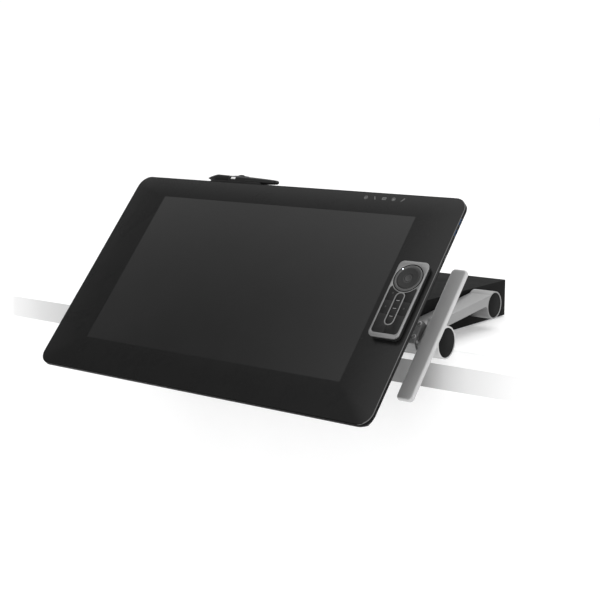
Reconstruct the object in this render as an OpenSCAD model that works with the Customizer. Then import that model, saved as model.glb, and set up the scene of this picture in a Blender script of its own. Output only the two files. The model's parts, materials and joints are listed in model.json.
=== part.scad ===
// Pen display on a counterbalanced two-arm desk stand, with a pen and a key remote.
// The base rests on a desk, and the display hangs in front of the desk's edge.
// +X is to the user's right, +Y away from the user, +Z up. The origin is the centre
// of the anti-slip pad's lower face.

/* [Base] */
// Width of the base, left to right
base_w = 483; // [440:1:484]
// Depth of the base, front to back
base_d = 290; // [270:1:300]
// Height of the base, from the pad's lower face to its top
base_h = 64; // [62:1:80]
// Sheet thickness of the base cover
base_wall = 2.5; // [2:0.5:3]

/* [Arms] */
// Distance between the rear and the front pivot
arm_len = 210; // [205:1:220]
// How far the arms point down towards the front, in degrees
arm_pitch = 6.5; // [0:0.5:8]
// Width of each arm, left to right
arm_w = 40; // [36:1:42]
// Radius of the rear hub
rear_hub_r = 23; // [22:0.5:24]
// Radius of the front hub
front_hub_r = 24; // [23:0.5:24]

/* [Display] */
// Width of the display
disp_w = 677; // [670:1:690]
// Height of the display, along the glass
disp_h = 394; // [390:1:400]
// Corner radius of the display
disp_r = 22; // [18:1:26]
// Angle of the glass above horizontal
disp_tilt = 48.4; // [40:0.1:60]
// Distance from the front pivot to the glass
head_depth = 122; // [120:1:130]
// Height of the front pivot above the glass's middle, along the glass
axis_rise = 15; // [14:1:16]
// Width of the picture area
screen_w = 522; // [500:1:530]
// Height of the picture area
screen_h = 294; // [280:1:300]
// How far the picture area sits above the glass's middle
screen_up = 10; // [0:1:12]

/* [Levers] */
// Length of a lever's bar
lever_len = 233; // [200:1:235]
// Width of a lever's bar
lever_w = 28; // [24:1:28]
// Radius of a lever's hub
lever_hub_r = 25.4; // [25:0.1:26]

/* [Remote] */
// Width of the key remote
remote_w = 52; // [51:1:54]
// Length of the key remote
remote_l = 132; // [130:1:136]
// Thickness of the key remote
remote_t = 11; // [11:0.5:12]

/* [Hidden] */
$fn = 64;

// Base
pad_t = 2;
plate_t = 4;
floor_z = pad_t + plate_t;   // upper face of the base plate
cover_foot = 2.5;            // lower rim of the cover
rear_axis = [26, 41];        // y and z of the rear pivot
shaft_r = 12;
shaft_bore_r = 8;
bush_r = 16;
running = 0.05;              // radial clearance of a running fit
block_t = 15.5;              // thickness of a bearing block
spring_r = 17;               // radius of a counterbalance spring's coil
spring_wire_r = 2.5;
spring_turns = 15;
screw_x = 200;
screw_y = 110;
base_screw_r = 2.5;
base_screw_len = 14;
base_half = base_w / 2;
collar_x = [base_half - 102, base_half - 92]; // faces of the collar that winds a spring

// Arms and front pivot
arm_in = 246;                // inner face of the right arm
arm_out = arm_in + arm_w;
hub_out = arm_in + arm_w - 6; // outer face of the front hub, stepped in for the bracket's cheek
arm_low = 4.5;               // underside of the arm's bar, above the line through its pivots
arm_high = 20;               // top of the arm's bar
arm_fillet = 8;
shaft_half = 270;
pin_r = 9;
tube_r = 20;
tube_wall = 3;
cap_t = 3;
cap_inset = 0.6;             // depth of a cap's face below the rim
cap_gap = 0.1;
rim_w = 2.3;                 // metal rim left around an end cap

// Display frame: x right, y up along the glass, z out of the glass, origin at the glass's middle
frame_t = 7;
glass_t = 1.8;
glass_in = 1.4;              // width of the metal rim around the glass
glass_gap = 0.1;
ledge = 13.5;                // width of the front frame's ring
back_z = -34;
boss_z = -40;
skin = 2.2;
pivot_z = -head_depth;
pivot_y = axis_rise;
beam_lo = pivot_y - 25;
beam_hi = pivot_y + 16;
beam_back = pivot_z + 29.5;
beam_front = -62;
beam_half = 232;
bracket_t = 4;
back_plate_t = 4;
screw_head_r = 3.6;
cheek_screw_x = hub_out + 2.4;
board_z = -24;               // rear face of the main board
board_t = 1.6;
port_y = [157, 137];         // middles of the two side ports
port_w = 13;
port_t = 4.6;
port_z = -4.4;
button_y = 92;               // middle of the power button
vent_at = [-150, 40];        // middle of the left vent field, behind which the fan sits
vent_pitch = 8;
inlet_at = [150, -84];       // middle of the socket pocket
fan_z = back_z + skin;

// Levers
lever_in = hub_out + 9;      // inner face of a lever's hub
lever_out = lever_in + 33;
lever_bar_out = lever_out + 4;
lever_bar_t = 9;
lever_bar_lo = 24;           // distance from the pivot to the bar's back face
lever_fillet = 6;
lever_down = 120;            // reach of the bar below the pivot
crown_r = 70;                // radius of the crown across a lever's bar

// Pen
pen_tip_x = -196;
pen_axis = [209.3, -10];     // y and z of the pen's axis in the display frame
pen_len = 157;
switch_at = 73;              // middle of the rocker, from the tip
switch_half = 19;
switch_w = 5.6;
switch_pivot = 3.4;          // height of the rocker's axis above the pen's

// Remote
remote_at = [304.2, 4.7];
foot_t = 0.6;
remote_top = remote_t;
lid_t = 3;
ring_y = 36.5;
ring_r = 24;
rim_r = 25.6;                // outer radius of the frame's rim round the ring
key_half = 23.1;             // half width of the key field
key_lo = -59;
pill_r = 6.5;
pill_rim = 8.4;
pill_hi = 3.5;               // centres of the pill's round ends
pill_lo = -36.9;
key_gap = 0.35;
well_z = 2.2;                // floor of the base's well, on which the ring stands
ring_proud = 0.6;            // height of the ring above the frame
groove_r = 19.2;             // inner radius of the ring's groove
button_r = 6.2;
key_rows = [23, -4, -27, key_lo - 1];      // heights at which the outer field is cut into keys
pill_rows = [12.5, -4.5, -18, -31.5, -50]; // heights at which the pill is cut into keys
key_top = remote_top + 0.5;
key_bottom = 5;

glass_black = [0.06, 0.06, 0.065];
black = [0.08, 0.08, 0.085];
dark = [0.2, 0.2, 0.21];
alloy = [0.68, 0.68, 0.69];
steel = [0.55, 0.56, 0.58];

// ---------- helpers ----------

module rounded_rect(w, h, r) {
    square([w - 2 * r, h], center = true);
    square([w, h - 2 * r], center = true);
    for (x = [-1, 1], y = [-1, 1])
        translate([x * (w / 2 - r), y * (h / 2 - r)]) circle(r);
}

// A plate with rounded corners, from z0 up to z1.
module plate(w, h, r, z0, z1) {
    translate([0, 0, z0]) linear_extrude(z1 - z0) rounded_rect(w, h, r);
}

module block(lo, hi) {
    translate(lo) cube([hi[0] - lo[0], hi[1] - lo[1], hi[2] - lo[2]]);
}

// A cylinder along X, from x0 to x1.
module rod(r, x0, x1) {
    translate([x0, 0, 0]) rotate([0, 90, 0]) cylinder(r = r, h = x1 - x0);
}

// Draws a 2D outline of y and z, and extrudes it along X.
module along_x(x0, x1) {
    translate([x0, 0, 0]) rotate([90, 0, 90]) linear_extrude(x1 - x0) children();
}

module at_rear_axis() {
    translate([0, rear_axis[0], rear_axis[1]]) children();
}

// Arm frame: the rear pivot is its origin, and the front pivot lies at y = -arm_len.
module in_arm() {
    at_rear_axis() rotate([arm_pitch, 0, 0]) children();
}

module at_front_hub() {
    in_arm() translate([0, -arm_len, 0]) children();
}

front_axis = [rear_axis[0] - arm_len * cos(arm_pitch), rear_axis[1] - arm_len * sin(arm_pitch)];
glass_mid = [
    front_axis[0] - head_depth * sin(disp_tilt) - axis_rise * cos(disp_tilt),
    front_axis[1] + head_depth * cos(disp_tilt) - axis_rise * sin(disp_tilt)
];

module in_display() {
    translate([0, glass_mid[0], glass_mid[1]]) rotate([disp_tilt, 0, 0]) children();
}

module at_pivot() {
    in_display() translate([0, pivot_y, pivot_z]) children();
}

module both_sides() {
    children();
    mirror([1, 0, 0]) children();
}

// Fills the corner between a hub round the origin and a bar whose lower edge is the line
// z = edge, on the +y side, with a fillet of radius r that is tangent to both. It reaches
// into the bar by the given depth.
module web(hub, edge, r, into) {
    cz = edge - r;
    cy = sqrt(pow(hub + r, 2) - pow(cz, 2));
    k = hub / (hub + r);
    difference() {
        polygon([[cy, edge + into], [cy, edge], [cy * k, cz * k], [0, 0], [0, edge + into]]);
        translate([cy, cz]) circle(r);
    }
}

// ---------- base ----------

module at_base_screws() {
    for (x = [-screw_x, screw_x], y = [-screw_y, screw_y])
        translate([x, y, 0]) children();
}

module base_cover() {
    color(black) difference() {
        union() {
            difference() {
                plate(base_w, base_d, 5, cover_foot, base_h);
                plate(base_w - 2 * base_wall, base_d - 2 * base_wall, 3, 0, base_h - base_wall);
            }
            at_base_screws() translate([0, 0, floor_z])
                cylinder(r = 6, h = base_h - base_wall - floor_z + 1);
        }
        at_base_screws() cylinder(r = base_screw_r, h = pad_t + base_screw_len);
        at_rear_axis() rod(bush_r, -base_half - 1, base_half + 1);
    }
}

module base_plate() {
    color(steel) difference() {
        plate(base_w - 2 * base_wall - 1, base_d - 2 * base_wall - 1, 3, pad_t, floor_z);
        at_base_screws() cylinder(r = base_screw_r, h = pad_t + base_screw_len);
    }
}

module base_pad() {
    color(dark) plate(base_w - 30, base_d - 30, 6, 0, pad_t);
}

module ballast_blocks() {
    color(steel) both_sides() block([20, 62, floor_z], [170, 122, floor_z + 14]);
}

module bearing_blocks() {
    inner = base_half - base_wall;
    color(dark) both_sides() difference() {
        union() {
            block([inner - block_t, rear_axis[0] - 24, floor_z], [inner, rear_axis[0] + 24, rear_axis[1]]);
            at_rear_axis() rod(20, inner - block_t, inner);
        }
        at_rear_axis() rod(bush_r, inner - block_t - 1, inner + 1);
    }
}

module shaft_bushes() {
    color([0.7, 0.55, 0.3]) both_sides() at_rear_axis() difference() {
        rod(bush_r, base_half - base_wall - block_t, base_half);
        rod(shaft_r + running, base_half - base_wall - block_t - 1, base_half + 1);
    }
}

// Closely wound torsion springs between the collars and the bearing blocks.
module counterbalance_springs() {
    spring_end = base_half - base_wall - block_t;
    pitch = (spring_end - collar_x[1] - 2 * spring_wire_r) / (spring_turns - 1);
    color(steel) both_sides() at_rear_axis() translate([collar_x[1] + spring_wire_r, 0, 0])
        rotate([0, 90, 0]) rotate_extrude() for (i = [0 : spring_turns - 1])
            translate([spring_r, i * pitch]) circle(spring_wire_r, $fn = 24);
}

module base_screws() {
    color(steel) at_base_screws() translate([0, 0, pad_t]) cylinder(r = base_screw_r, h = base_screw_len);
}

// ---------- arms ----------

module arm_body() {
    rod(rear_hub_r, arm_in, arm_out);
    translate([0, -arm_len, 0]) rod(front_hub_r, arm_in, arm_out);
    block([arm_in, -arm_len, arm_low], [arm_out, 0, arm_high]);
    along_x(arm_in, arm_out) mirror([1, 0]) web(rear_hub_r, arm_low, arm_fillet, 1);
    translate([0, -arm_len, 0]) along_x(arm_in, arm_out) web(front_hub_r, arm_low, arm_fillet, 1);
}

module arm() {
    in_arm() difference() {
        arm_body();
        rod(rear_hub_r - rim_w, arm_out - cap_t - cap_inset, arm_out + 1);
        rod(shaft_r, arm_in - 1, shaft_half);
        translate([0, -arm_len, 0]) {
            rod(front_hub_r + 4, hub_out, arm_out + 1);
            rod(pin_r, arm_in - 1, arm_out);
        }
    }
}

module arm_right() {
    color(alloy) arm();
}

module arm_left() {
    color(alloy) mirror([1, 0, 0]) arm();
}

module rear_shaft() {
    color(steel) at_rear_axis() difference() {
        rod(shaft_r, -shaft_half, shaft_half);
        rod(shaft_bore_r, -shaft_half - 1, shaft_half + 1);
    }
}

module spring_collars() {
    color(dark) both_sides() at_rear_axis() difference() {
        rod(19.5, collar_x[0], collar_x[1]);
        rod(shaft_r, collar_x[0] - 1, collar_x[1] + 1);
    }
}

module cross_tube() {
    color(alloy) at_front_hub() difference() {
        rod(tube_r, -arm_in, arm_in);
        rod(tube_r - tube_wall, -arm_in - 1, arm_in + 1);
    }
}

module pivot_pins() {
    color(steel) both_sides() at_front_hub() rod(pin_r, arm_in + 2, lever_out - 8);
}

module arm_end_caps() {
    color(black) both_sides() at_rear_axis()
        rod(rear_hub_r - rim_w - cap_gap, arm_out - cap_t - cap_inset, arm_out - cap_inset);
}

module friction_washers() {
    color(dark) both_sides() at_front_hub() difference() {
        rod(20, hub_out, hub_out + 0.9);
        rod(pin_r + 0.5, hub_out - 1, hub_out + 2);
    }
}

// ---------- tilting head ----------

module tilt_beam() {
    color(dark) in_display() difference() {
        block([-beam_half, beam_lo, beam_back], [beam_half, beam_hi, beam_front]);
        block([-beam_half - 1, beam_lo + 3, beam_back + 3], [beam_half + 1, beam_hi - 3, beam_front - 3]);
    }
}

// A clevis that straddles the arm's front hub: a plate bolted behind the beam, with two cheeks.
module tilt_bracket() {
    plate_z = beam_back - pivot_z - bracket_t;
    cheek_in = hub_out + 1;
    cheek_out = lever_in - 1.5;
    at_pivot() difference() {
        union() {
            block([200, -25, plate_z], [cheek_out, 16, plate_z + bracket_t]);
            rod(25, beam_half, arm_in - 2);
            block([beam_half, -20, 0], [arm_in - 2, 16, plate_z + 1]);
            rod(21, cheek_in, cheek_out);
            block([cheek_in, -16, 0], [cheek_out, 16, plate_z + 1]);
        }
        rod(tube_r + running, beam_half - 1, arm_in);
        rod(pin_r + running, cheek_in - 1, cheek_out + 1);
    }
}

module tilt_bracket_right() {
    color(dark) tilt_bracket();
}

module tilt_bracket_left() {
    color(dark) mirror([1, 0, 0]) tilt_bracket();
}

// Two countersunk heads stand proud of each bracket where it meets its outer cheek.
module bracket_screws() {
    color(steel) both_sides() in_display() {
        for (y = [2, 25.5])
            translate([cheek_screw_x, y, beam_back]) cylinder(r = screw_head_r, h = 1.2);
        for (x = [210, 224], y = [-3, 24])
            translate([x, y, beam_back - bracket_t - 2]) cylinder(r = screw_head_r, h = 2);
    }
}

// Joins the beam to the plate on the display's back.
module mount_block() {
    color(dark) in_display() block([-60, beam_lo, beam_front], [60, beam_hi, boss_z - back_plate_t]);
}

// ---------- levers ----------

module lever_outline() {
    circle(lever_hub_r);
    for (m = [0, 1])
        mirror([m, 0]) web(lever_hub_r, lever_bar_lo, lever_fillet, 0.5);
}

// The bar's face towards the display is crowned, as part of a wide cylinder.
module lever_bar() {
    translate([lever_bar_out - lever_w / 2, lever_len / 2 - lever_down, lever_bar_lo]) intersection() {
        linear_extrude(lever_bar_t) rounded_rect(lever_w, lever_len, 6);
        translate([0, 0, lever_bar_t - crown_r]) rotate([90, 0, 0])
            cylinder(r = crown_r, h = lever_len, center = true, $fn = 180);
    }
}

module lever() {
    at_pivot() difference() {
        union() {
            along_x(lever_in, lever_out) lever_outline();
            lever_bar();
        }
        rod(pin_r + running, lever_in - 1, lever_out);
        rod(lever_hub_r - rim_w, lever_out - cap_t - cap_inset, lever_out + 1);
    }
}

module lever_cap() {
    at_pivot() rod(lever_hub_r - rim_w - cap_gap, lever_out - cap_t - cap_inset, lever_out - cap_inset);
}

module lever_right() {
    color(alloy) lever();
}

module lever_left() {
    color(alloy) mirror([1, 0, 0]) lever();
}

module lever_cap_right() {
    color(black) lever_cap();
}

module lever_cap_left() {
    color(black) mirror([1, 0, 0]) lever_cap();
}

// ---------- display ----------

module cover_glass() {
    w = disp_w - 2 * (glass_in + glass_gap);
    h = disp_h - 2 * (glass_in + glass_gap);
    color(glass_black) in_display() plate(w, h, disp_r - glass_in - glass_gap, -glass_t, 0);
}

module lcd_panel() {
    color(black) in_display() translate([0, screen_up, 0])
        plate(screen_w + 18, screen_h + 18, 2, -glass_t - 5, -glass_t);
}

// The frame's side is 7 mm thick, and holds the ports and the power button.
module front_frame() {
    right = disp_w / 2;
    color([0.3, 0.3, 0.31]) in_display() difference() {
        plate(disp_w, disp_h, disp_r, -frame_t, 0);
        plate(disp_w - 2 * glass_in, disp_h - 2 * glass_in, disp_r - glass_in, -glass_t, 1);
        plate(disp_w - 2 * ledge, disp_h - 2 * ledge, 8, -frame_t - 1, 1);
        for (y = port_y)
            block([right - 12, y - port_w / 2, port_z - port_t / 2],
                  [right + 1, y + port_w / 2, port_z + port_t / 2]);
        block([right - 6, button_y - 6.2, port_z - 1.7], [right + 1, button_y + 6.2, port_z + 1.7]);
    }
}

// The rear cover's outside: a rim at the frame that slopes in to a flat back.
module cover_form(inset) {
    hw = disp_w / 2 - inset;
    hh = disp_h / 2 - inset;
    intersection() {
        plate(2 * hw, 2 * hh, disp_r - inset, back_z + inset, -frame_t);
        rotate([90, 0, 0]) linear_extrude(disp_h, center = true)
            polygon([[-hw, -frame_t], [hw, -frame_t], [hw - 62, back_z + inset], [-hw + 62, back_z + inset]]);
        along_x(-disp_w, disp_w)
            polygon([[-hh, -frame_t], [hh, -frame_t], [hh - 50, back_z + inset], [-hh + 50, back_z + inset]]);
    }
}

module rear_cover() {
    color(dark) in_display() difference() {
        union() {
            difference() {
                cover_form(0);
                cover_form(skin);
            }
            plate(170, 150, 10, boss_z, back_z + skin);
            translate([inlet_at[0], inlet_at[1], 0]) plate(100, 34, 4, back_z + 0.1, back_z + 12);
        }
        translate([inlet_at[0], inlet_at[1], 0]) plate(96, 30, 3, back_z - 1, back_z + 10);
        for (side = [-1, 1], i = [-6 : 6])
            translate([side * vent_at[0] + i * vent_pitch, vent_at[1], 0])
                plate(3.4, 70, 1.6, back_z - 1, back_z + skin + 1);
    }
}

module main_board() {
    face = board_z + board_t;
    color([0.05, 0.25, 0.12]) in_display() {
        block([-90, -60, board_z], [190, 60, face]);
        for (x = [-84, 184], y = [-54, 54])
            translate([x, y, back_z + skin]) cylinder(r = 3, h = board_z - back_z - skin);
        block([-30, -25, face], [10, 15, face + 4.4]);
        block([40, -20, face], [68, 8, face + 2.4]);
        block([110, 20, face], [150, 44, face + 5.4]);
        for (i = [0 : 5])
            translate([-80 + i * 8, 44, face]) cylinder(r = 3, h = 9);
    }
}

module back_plate() {
    color(steel) in_display() plate(150, 130, 8, boss_z - back_plate_t, boss_z);
}

module rear_screws() {
    color(steel) in_display() for (x = [-66, 66], y = [-55, 55])
        translate([x, y, boss_z - back_plate_t - 2.2]) cylinder(r = 4, h = 2.2);
}

module side_ports() {
    right = disp_w / 2;
    color(steel) in_display() for (y = port_y) difference() {
        block([right - 12, y - port_w / 2, port_z - port_t / 2],
              [right - 0.3, y + port_w / 2, port_z + port_t / 2]);
        block([right - 11.5, y - port_w / 2 + 0.4, port_z - port_t / 2 + 0.4],
              [right, y + port_w / 2 - 0.4, port_z + port_t / 2 - 0.4]);
    }
}

module port_tongues() {
    right = disp_w / 2;
    color([0.1, 0.35, 0.75]) in_display() for (y = port_y)
        block([right - 11.5, y - port_w / 2 + 1, port_z - 0.2],
              [right - 1, y + port_w / 2 - 1, port_z + 1.5]);
}

// A round power socket and three data sockets, in the pocket of the rear cover.
module rear_inlets() {
    z0 = back_z + 10;
    color(steel) in_display() translate([inlet_at[0], inlet_at[1], 0]) {
        translate([-36, 0, z0 - 9]) difference() {
            cylinder(r = 6, h = 9);
            translate([0, 0, -1]) cylinder(r = 4.6, h = 8);
        }
        for (x = [-14, 10, 34]) translate([x, 0, z0 - 9]) difference() {
            plate(16, 8, 2, 0, 9);
            plate(14.4, 6.4, 1.4, -1, 7);
            plate(10, 2, 0.5, -1, 0);
        }
    }
}

module power_button() {
    right = disp_w / 2;
    color(dark) in_display() block([right - 4.8, button_y - 5.8, port_z - 1.3],
                                   [right + 0.6, button_y + 5.8, port_z + 1.3]);
}

module fan_frame() {
    color(black) in_display() translate([vent_at[0], vent_at[1], fan_z]) {
        difference() {
            plate(84, 84, 8, 0, 12);
            translate([0, 0, -1]) cylinder(r = 38, h = 11);
        }
        cylinder(r = 2, h = 11);
    }
}

module fan_impeller() {
    color(dark) in_display() translate([vent_at[0], vent_at[1], fan_z]) difference() {
        union() {
            translate([0, 0, 1]) cylinder(r = 13, h = 8);
            for (a = [0 : 30 : 330]) rotate([0, 0, a]) block([10, -0.8, 1], [34, 0.8, 8]);
        }
        translate([0, 0, -1]) cylinder(r = 2 + running, h = 11);
    }
}

// ---------- pen and its tray ----------

module pen_tray() {
    tray_lo = disp_h / 2;
    color(black) in_display() difference() {
        block([-181, tray_lo, -20.5], [-71, pen_axis[0], -3]);
        translate([0, pen_axis[0], pen_axis[1]]) rod(7.7, -182, -70);
        block([-182, tray_lo + 5.5, pen_axis[1]], [-70, tray_lo + 30, 0]);
    }
}

// Draws a turned solid on the pen's axis from [distance from the tip, radius] points.
module turned(points) {
    last = len(points) - 1;
    in_display() translate([pen_tip_x, pen_axis[0], pen_axis[1]]) rotate([0, 90, 0]) rotate_extrude()
        polygon(concat([[0, points[0][0]]], [for (p = points) [p[1], p[0]]], [[0, points[last][0]]]));
}

module on_pen() {
    in_display() translate([pen_tip_x, pen_axis[0], pen_axis[1]]) children();
}

module pen_nib() {
    color(dark) turned([[0, 0.45], [0.5, 0.8], [8, 0.8]]);
}

module pen_nose() {
    color(dark) difference() {
        turned([[2.6, 1.6], [4, 2.2], [12, 4.9], [19, 6.9], [21, 7]]);
        on_pen() rod(0.85, -1, 9);
    }
}

module pen_grip() {
    color(black) turned([[21, 7.3], [24, 7.5], [38, 7.1], [51, 6.9]]);
}

module pen_barrel() {
    color(dark) difference() {
        turned([[51, 6.9], [70, 6.8], [95, 6.4], [120, 5.4], [140, 4.4], [149, 3.9]]);
        on_pen() block([switch_at - switch_half - 0.4, 1.6, -3.2], [switch_at + switch_half + 0.4, 12, 3.2]);
        on_pen() rod(2.1, 141, 150);
    }
}

// A rocker that turns on a round boss under its middle.
module pen_switch() {
    color(glass_black) on_pen() translate([switch_at, 0, -switch_w / 2]) {
        linear_extrude(switch_w)
            polygon([[-switch_half, 4.4], [-switch_half, 6.8], [-13, 8.4], [-6, 9.3], [-2, 9.6],
                     [4, 9.4], [8, 8.2], [switch_half, 6.4], [switch_half, 4.4], [1, 3.4], [-1, 3.4]]);
        translate([0, switch_pivot, 0]) cylinder(r = 1.6, h = switch_w);
    }
}

module pen_eraser() {
    color(dark) {
        turned([[149.8, 3.7], [154, 3.4], [156.2, 2.4], [pen_len, 1.2]]);
        on_pen() rod(2, 142.5, 150);
    }
}

// ---------- remote ----------

module in_remote() {
    in_display() translate([remote_at[0], remote_at[1], 0]) children();
}

module remote_base() {
    lid_z = remote_top - lid_t;
    color(black) in_remote() difference() {
        plate(remote_w - 1.6, remote_l - 1.6, 8.2, foot_t, lid_z);
        plate(2 * (ring_r + 0.3), remote_l - 10, 4, well_z, lid_z + 1);
    }
}

module remote_feet() {
    color(dark) in_remote() for (x = [-18, 18], y = [-58, 58])
        translate([x, y, 0]) cylinder(r = 4, h = foot_t);
}

module pill(r) {
    translate([0, pill_lo]) circle(r);
    translate([0, pill_hi]) circle(r);
    translate([-r, pill_lo]) square([2 * r, pill_hi - pill_lo]);
}

// The field of outer keys: a U round the pill, cut off by the ring's rim.
module key_field(shrink) {
    difference() {
        translate([0, (key_lo + 22) / 2]) rounded_rect(2 * (key_half - shrink), 22 - key_lo - 2 * shrink, 6);
        translate([0, ring_y]) circle(rim_r + shrink);
        pill(pill_rim + shrink);
    }
}

module remote_frame() {
    color(alloy) in_remote() difference() {
        plate(remote_w, remote_l, 9, remote_top - lid_t, remote_top);
        translate([0, ring_y, 0]) cylinder(r = ring_r + 0.2, h = 20);
        linear_extrude(20) key_field(0);
        linear_extrude(20) pill(pill_r);
    }
}

module remote_ring() {
    color(glass_black) in_remote() translate([0, ring_y, 0]) difference() {
        translate([0, 0, well_z]) cylinder(r = ring_r, h = remote_top + ring_proud - well_z);
        translate([0, 0, remote_top - 0.2]) rotate_extrude() translate([groove_r, 0]) square([3, 2]);
        translate([0, 0, 3]) cylinder(r = button_r + 0.3, h = 20);
    }
}

module ring_button() {
    color(dark) in_remote() translate([0, ring_y, key_bottom])
        cylinder(r = button_r, h = remote_top - key_bottom);
}

module side_key(side, row) {
    tall = key_top - key_bottom;
    color(black) in_remote() translate([0, 0, key_bottom]) linear_extrude(tall) intersection() {
        key_field(key_gap);
        translate([side > 0 ? key_gap / 2 : -key_half - 1, key_rows[row] + key_gap / 2])
            square([key_half + 1 - key_gap / 2, key_rows[row - 1] - key_rows[row] - key_gap]);
    }
}

module middle_key(row) {
    tall = key_top - key_bottom - 0.6;
    color(black) in_remote() translate([0, 0, key_bottom]) linear_extrude(tall) intersection() {
        pill(pill_r - key_gap);
        translate([-pill_r, pill_rows[row] + key_gap / 2])
            square([2 * pill_r, pill_rows[row - 1] - pill_rows[row] - key_gap]);
    }
}

// ---------- nodes ----------

base_cover();
base_plate();
base_pad();
ballast_blocks();
bearing_blocks();
shaft_bushes();
counterbalance_springs();
base_screws();
arm_right();
arm_left();
rear_shaft();
spring_collars();
cross_tube();
pivot_pins();
arm_end_caps();
friction_washers();
tilt_beam();
tilt_bracket_right();
tilt_bracket_left();
bracket_screws();
mount_block();
lever_right();
lever_left();
lever_cap_right();
lever_cap_left();
cover_glass();
lcd_panel();
front_frame();
rear_cover();
main_board();
back_plate();
rear_screws();
side_ports();
port_tongues();
rear_inlets();
power_button();
fan_frame();
fan_impeller();
pen_tray();
pen_barrel();
pen_grip();
pen_nose();
pen_nib();
pen_switch();
pen_eraser();
remote_base();
remote_frame();
remote_ring();
ring_button();
remote_feet();
for (row = [1 : 3]) {
    side_key(-1, row);
    side_key(1, row);
}
for (row = [1 : 4])
    middle_key(row);
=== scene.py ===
import json
import math

import bmesh
import bpy
from mathutils import Matrix, Vector


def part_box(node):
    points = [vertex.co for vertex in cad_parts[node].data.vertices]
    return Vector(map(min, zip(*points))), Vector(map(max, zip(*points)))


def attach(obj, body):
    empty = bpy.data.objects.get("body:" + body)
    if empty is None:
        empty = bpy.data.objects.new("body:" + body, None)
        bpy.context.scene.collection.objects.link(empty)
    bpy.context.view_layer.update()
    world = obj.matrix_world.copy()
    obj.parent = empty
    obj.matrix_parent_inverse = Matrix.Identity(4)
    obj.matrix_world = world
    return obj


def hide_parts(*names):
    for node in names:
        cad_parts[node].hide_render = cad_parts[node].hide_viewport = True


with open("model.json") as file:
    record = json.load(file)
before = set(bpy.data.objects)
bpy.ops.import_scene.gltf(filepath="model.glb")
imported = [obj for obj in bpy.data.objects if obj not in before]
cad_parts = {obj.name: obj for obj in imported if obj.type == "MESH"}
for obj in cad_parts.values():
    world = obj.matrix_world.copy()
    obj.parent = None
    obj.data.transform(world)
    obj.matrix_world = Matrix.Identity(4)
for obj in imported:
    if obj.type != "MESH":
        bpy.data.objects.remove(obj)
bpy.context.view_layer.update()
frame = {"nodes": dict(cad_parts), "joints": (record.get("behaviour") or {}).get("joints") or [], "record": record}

# The looks of a pen display on its desk stand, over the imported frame's CAD nodes.

NODES = frame["nodes"]
JOINTS = {joint["name"]: joint for joint in frame["joints"]}
SLOTS = {part["node"]: part["material_slot"] for part in frame["record"]["subparts"]}
BODIES = {node: body for body, nodes in frame["record"]["behaviour"]["bodies"].items() for node in nodes}
MM = 0.001
MERGE = 0.000002  # vertices of a CAD node closer than this are one, in metres

# ---------- frames of reference ----------

RIGHT = Vector((1, 0, 0))
UP = Vector(JOINTS["pen_lift"]["axis"]).normalized()      # up along the glass
OUT = Vector(JOINTS["remote_lift"]["axis"]).normalized()  # out of the glass


def local_frame(origin, x_axis, y_axis, z_axis):
    """A matrix from a local frame in millimetres to the row frame in metres."""
    turn = Matrix((x_axis, y_axis, z_axis)).transposed().to_4x4()
    return Matrix.Translation(origin) @ turn @ Matrix.Scale(MM, 4)


def node_box(node, matrix):
    """Lowest and highest corner of a CAD node in a local frame."""
    inverse = matrix.inverted()
    points = [inverse @ vertex.co for vertex in NODES[node].data.vertices]
    low = Vector([min(p[i] for p in points) for i in range(3)])
    high = Vector([max(p[i] for p in points) for i in range(3)])
    return low, high


glass_low, glass_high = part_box("cover_glass")
glass_centre = (glass_low + glass_high) / 2
low, high = node_box("cover_glass", local_frame(glass_centre, RIGHT, UP, OUT))
GLASS_T = high.z - low.z
# x right, y up the glass and z out of it, in millimetres, from the middle of the glass's face
DISPLAY = local_frame(glass_centre + OUT * (high.z * MM), RIGHT, UP, OUT)

# ---------- materials ----------


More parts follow.
